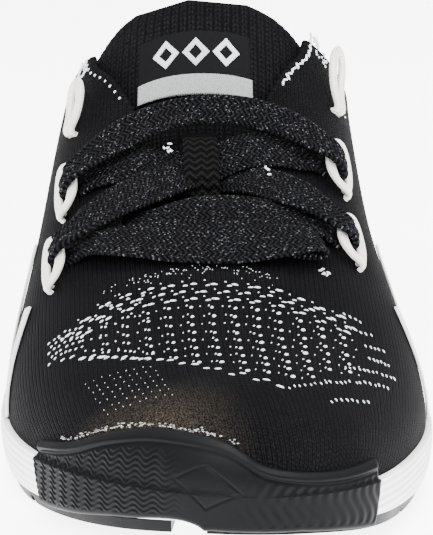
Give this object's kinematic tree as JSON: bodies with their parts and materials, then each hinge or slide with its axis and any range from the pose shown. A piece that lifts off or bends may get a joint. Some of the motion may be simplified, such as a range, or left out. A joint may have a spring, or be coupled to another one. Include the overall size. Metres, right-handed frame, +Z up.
{
  "type": "cheerleading shoe",
  "caption": "Low-cut knit cheerleading shoe for the right foot with cord lace loops, flat lace, rubber toe bumper and foam sole.",
  "frame": {"origin": "on the ground under the middle of the shoe's bounding box", "axes": "+Z up, the toe points to -Y, +X is the inner (medial) side"},
  "size_m": [0.0998, 0.2737, 0.1007],
  "materials": {
    "white_foam": "moulded foam, matt white",
    "black_rubber": "matt black",
    "board": "felted board",
    "footbed_foam": "open foam",
    "footbed_cloth": "brushed cloth",
    "black_knit": "ribbed jacquard knit with white stitches",
    "stiffener": "thermoplastic sheet",
    "lining": "brushed lining",
    "tongue_knit": "rib knit",
    "label_weave": "damask weave, black with a grey band",
    "webbing": "herringbone webbing",
    "white_cord": "grooved braided cord",
    "black_lace": "flat tubular braid with metallic threads",
    "aglet": "clear-gloss black",
    "strap_tape": "woven tape"
  },
  "bodies": {
    "shoe": {"midsole": "white_foam", "outsole_forefoot_outer": "black_rubber", "outsole_forefoot_inner": "black_rubber", "outsole_heel": "black_rubber", "toe_bumper": "black_rubber", "strobel_board": "board", "footbed_foam": "footbed_foam", "footbed_cloth": "footbed_cloth", "knit_upper": "black_knit", "toe_puff": "stiffener", "heel_counter": "stiffener", "collar_foam": "footbed_foam", "collar_lining": "lining", "eyestay_inner": "stiffener", "eyestay_outer": "stiffener", "tongue_body": "tongue_knit", "lace_keeper": "webbing", "lace_loop_low_outer": "white_cord", "lace_loop_low_inner": "white_cord", "lace_loop_mid_outer": "white_cord", "lace_loop_mid_inner": "white_cord", "lace": "black_lace", "aglet_inner": "aglet", "aglet_outer": "aglet", "side_strap_front_inner": "strap_tape", "side_strap_front_outer": "strap_tape", "side_strap_rear_inner": "strap_tape", "side_strap_rear_outer": "strap_tape"},
    "tongue_top": {"tongue_flap": "tongue_knit", "tongue_label": "label_weave"},
    "loop_top_outer": {"lace_loop_top_outer": "white_cord"},
    "loop_top_inner": {"lace_loop_top_inner": "white_cord"}
  },
  "joints": [
    {"name": "tongue_fold", "type": "hinge", "parent": "shoe", "child": "tongue_top", "pos_m": [-0.00376, 0.00334, 0.08317], "axis": [1, 0, 0], "range_deg": [-5, 60], "stiffness_Nm_per_rad": 0.02},
    {"name": "loop_outer_bend", "type": "hinge", "parent": "shoe", "child": "loop_top_outer", "pos_m": [-0.0358, 0.00804, 0.06892], "axis": [0.5949, -0.5462, 0.5898], "range_deg": [-8, 70], "stiffness_Nm_per_rad": 0.002},
    {"name": "loop_inner_bend", "type": "hinge", "parent": "shoe", "child": "loop_top_inner", "pos_m": [0.03208, 0.01466, 0.07116], "axis": [0.4944, 0.1997, -0.846], "range_deg": [-8, 70], "stiffness_Nm_per_rad": 0.002}
  ]
}
